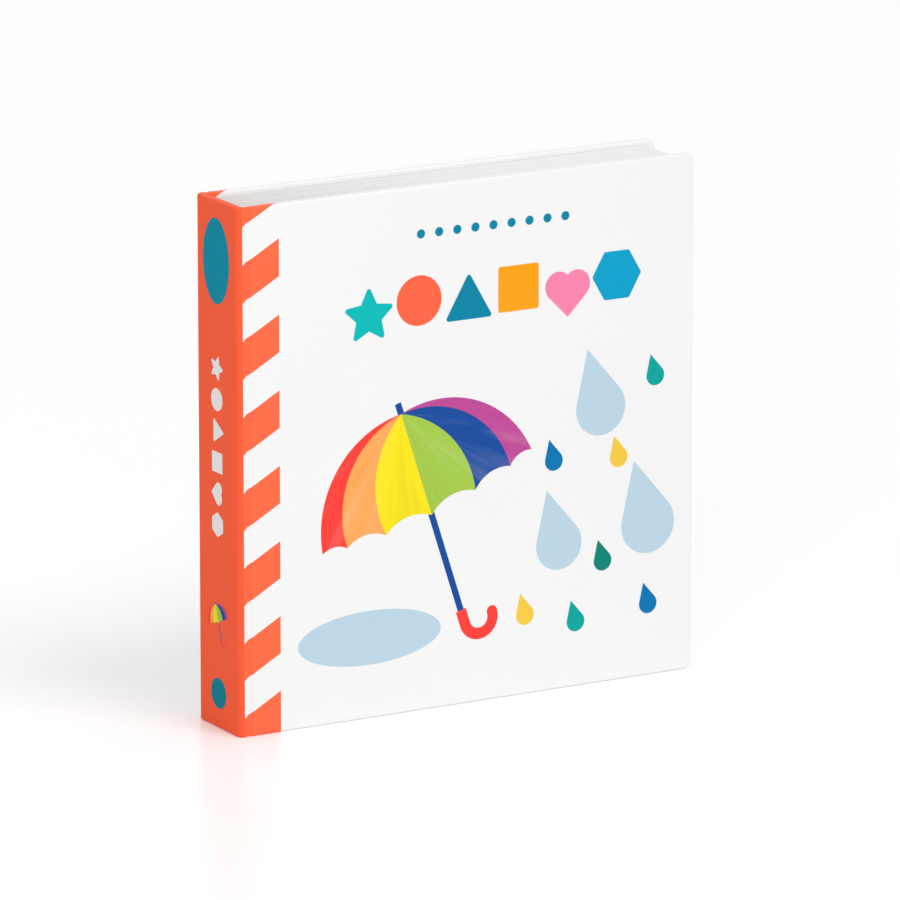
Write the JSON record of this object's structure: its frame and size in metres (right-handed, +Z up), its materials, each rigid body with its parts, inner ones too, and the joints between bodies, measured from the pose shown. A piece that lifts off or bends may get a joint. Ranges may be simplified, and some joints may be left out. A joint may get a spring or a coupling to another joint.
{
  "type": "board book",
  "caption": "Square case-bound board book with a striped orange spine, thick leaves and two covers that open.",
  "frame": {"origin": "middle of the closed book's footprint, on the surface that it stands on", "axes": "+Z up along the spine, -Y out of the front cover, -X out of the spine"},
  "size_m": [0.1414, 0.023, 0.145],
  "materials": {
    "greyboard": "matt, fine grain",
    "white_sheet": "laminated, soft gloss",
    "orange_sheet": "laminated, soft gloss",
    "page_board": "matt coated board",
    "endpaper": "matt paper",
    "glue": "hot glue",
    "ink_orange": "print under laminate",
    "ink_teal": "print under laminate",
    "ink_coral": "print under laminate",
    "ink_petrol": "print under laminate",
    "ink_amber": "print under laminate",
    "ink_pink": "print under laminate",
    "ink_azure": "print under laminate",
    "ink_red": "print under laminate",
    "ink_light_orange": "print under laminate",
    "ink_yellow": "print under laminate",
    "ink_lime": "print under laminate",
    "ink_blue": "print under laminate",
    "ink_purple": "print under laminate",
    "ink_pale_blue": "print under laminate",
    "ink_green": "print under laminate",
    "ink_label": "print under laminate",
    "ink_white": "print under laminate"
  },
  "bodies": {
    "page_block_and_spine": {"back_endpaper_strip": "endpaper", "back_joint_paper": "white_sheet", "back_joint_stripes": "ink_orange", "front_endpaper_strip": "endpaper", "front_joint_paper": "white_sheet", "front_joint_stripes": "ink_orange", "page_block": "page_board", "spine_board": "greyboard", "spine_disc": "ink_label", "spine_glue": "glue", "spine_label": "ink_label", "spine_shapes": "ink_white", "spine_umbrella_blue": "ink_blue", "spine_umbrella_grip": "ink_red", "spine_umbrella_lime": "ink_lime", "spine_umbrella_orange": "ink_light_orange", "spine_umbrella_purple": "ink_purple", "spine_umbrella_red": "ink_red", "spine_umbrella_shaft": "ink_blue", "spine_umbrella_yellow": "ink_yellow", "spine_wrap": "orange_sheet"},
    "front_cover": {"front_board": "greyboard", "front_cover_wrap": "white_sheet", "front_pastedown": "endpaper", "front_cover_stripes": "ink_orange", "front_disc": "ink_coral", "front_dots": "ink_petrol", "front_drops_blue": "ink_petrol", "front_drops_green": "ink_green", "front_drops_pale": "ink_pale_blue", "front_drops_teal": "ink_teal", "front_drops_yellow": "ink_amber", "front_heart": "ink_pink", "front_hexagon": "ink_azure", "front_puddle": "ink_pale_blue", "front_square": "ink_amber", "front_star": "ink_teal", "front_triangle": "ink_petrol", "front_umbrella_blue": "ink_blue", "front_umbrella_grip": "ink_red", "front_umbrella_lime": "ink_lime", "front_umbrella_orange": "ink_light_orange", "front_umbrella_purple": "ink_purple", "front_umbrella_red": "ink_red", "front_umbrella_shaft": "ink_blue", "front_umbrella_yellow": "ink_yellow"},
    "back_cover": {"back_board": "greyboard", "back_cover_wrap": "white_sheet", "back_pastedown": "endpaper", "back_cover_stripes": "ink_orange"}
  },
  "joints": [
    {"name": "front_cover_hinge", "type": "hinge", "parent": "page_block_and_spine", "child": "front_cover", "pos_m": [-0.06765, -0.0116, 0.0725], "axis": [0, 0, -1], "range_deg": [0, 179], "deforming": ["front_joint_paper", "front_joint_stripes", "front_endpaper_strip"]},
    {"name": "back_cover_hinge", "type": "hinge", "parent": "page_block_and_spine", "child": "back_cover", "pos_m": [-0.06765, 0.0116, 0.0725], "axis": [0, 0, 1], "range_deg": [0, 179], "deforming": ["back_joint_paper", "back_joint_stripes", "back_endpaper_strip"]}
  ]
}
